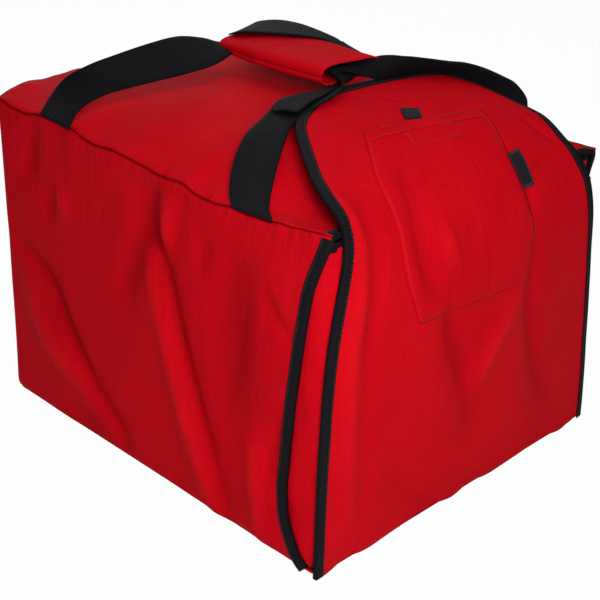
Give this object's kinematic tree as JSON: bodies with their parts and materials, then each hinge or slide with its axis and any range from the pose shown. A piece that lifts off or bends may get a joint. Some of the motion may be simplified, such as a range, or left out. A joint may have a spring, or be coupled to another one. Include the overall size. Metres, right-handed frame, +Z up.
{
  "type": "insulated pizza delivery bag",
  "caption": "Insulated pizza delivery bag of red nylon with black bound edges, a padded flap folded back over its domed top, side wings, a pocket and two webbing loops in a padded wrap.",
  "frame": {"origin": "on the ground, under the middle of the bag", "axes": "+Z up, -Y towards the flap and the opening, +X to the right for someone facing the flap"},
  "size_m": [0.4988, 0.5094, 0.4562],
  "materials": {
    "red_nylon": "coated woven nylon, soft sheen",
    "foam": "soft white insulation foam",
    "board": "matt sheet stiffener",
    "lining": "smooth wipe-clean coated lining",
    "black_tape": "woven binding tape",
    "webbing": "ribbed woven webbing",
    "hook_and_loop": "hook and loop tape",
    "label": "plain woven label"
  },
  "bodies": {
    "bag": {"outer_bottom": "red_nylon", "insulation_bottom": "foam", "base_board": "board", "lining_bottom": "lining", "outer_left": "red_nylon", "outer_right": "red_nylon", "outer_top": "red_nylon", "outer_back": "red_nylon", "insulation_left": "foam", "insulation_right": "foam", "insulation_top": "foam", "insulation_back": "foam", "lining_left": "lining", "lining_right": "lining", "lining_top": "lining", "lining_back": "lining", "binding_left": "black_tape", "binding_right": "black_tape", "binding_top": "black_tape", "gusset_left": "red_nylon", "gusset_right": "red_nylon", "loop_patch": "hook_and_loop", "leg_left_front": "webbing", "leg_left_rear": "webbing", "leg_right_front": "webbing", "leg_right_rear": "webbing"},
    "flap_front": {"flap_outer": "red_nylon", "flap_insulation": "foam", "flap_lining": "lining", "flap_binding_left": "black_tape", "flap_binding_right": "black_tape", "pocket_lower": "red_nylon"},
    "flap_tongue": {"tongue_outer": "red_nylon", "tongue_insulation": "foam", "tongue_lining": "lining", "tongue_binding": "black_tape", "tongue_hook": "hook_and_loop", "pocket_upper": "red_nylon", "pocket_hem": "red_nylon", "pocket_tab": "hook_and_loop", "label": "label"},
    "grip": {"grip_webbing_left": "webbing", "grip_webbing_right": "webbing", "wrap_pad": "foam", "wrap_cover": "red_nylon", "wrap_spine": "red_nylon", "wrap_loop": "hook_and_loop"},
    "wrap_flap": {"wrap_flap_pad": "foam", "wrap_flap_cover": "red_nylon", "wrap_hook": "hook_and_loop"},
    "wing_left": {"wing_left": "red_nylon"},
    "wing_right": {"wing_right": "red_nylon"}
  },
  "joints": [
    {"name": "flap_drop", "type": "hinge", "parent": "bag", "child": "flap_front", "pos_m": [0, -0.2529, 0.0035], "axis": [1, 0, 0], "range_deg": [0, 90]},
    {"name": "tongue_fold", "type": "hinge", "parent": "flap_front", "child": "flap_tongue", "pos_m": [0, -0.2554, 0.3751], "axis": [1, 0, 0], "range_deg": [0, 215]},
    {"name": "grip_lift", "type": "slide", "parent": "bag", "child": "grip", "axis": [0, 0, 1], "range_m": [0, 0.07], "deforming": ["leg_left_front", "leg_left_rear", "leg_right_front", "leg_right_rear"]},
    {"name": "wrap_open", "type": "hinge", "parent": "grip", "child": "wrap_flap", "pos_m": [0.0278, 0.026, 0.4472], "axis": [0, 1, 0], "range_deg": [0, 150]},
    {"name": "wing_left_fold", "type": "hinge", "parent": "bag", "child": "wing_left", "pos_m": [-0.2288, -0.2411, 0.1775], "axis": [0, 0, 1], "range_deg": [0, 78]},
    {"name": "wing_right_fold", "type": "hinge", "parent": "bag", "child": "wing_right", "pos_m": [0.2175, -0.2411, 0.1775], "axis": [0.1018, 0, -0.9948], "range_deg": [0, 78]}
  ]
}
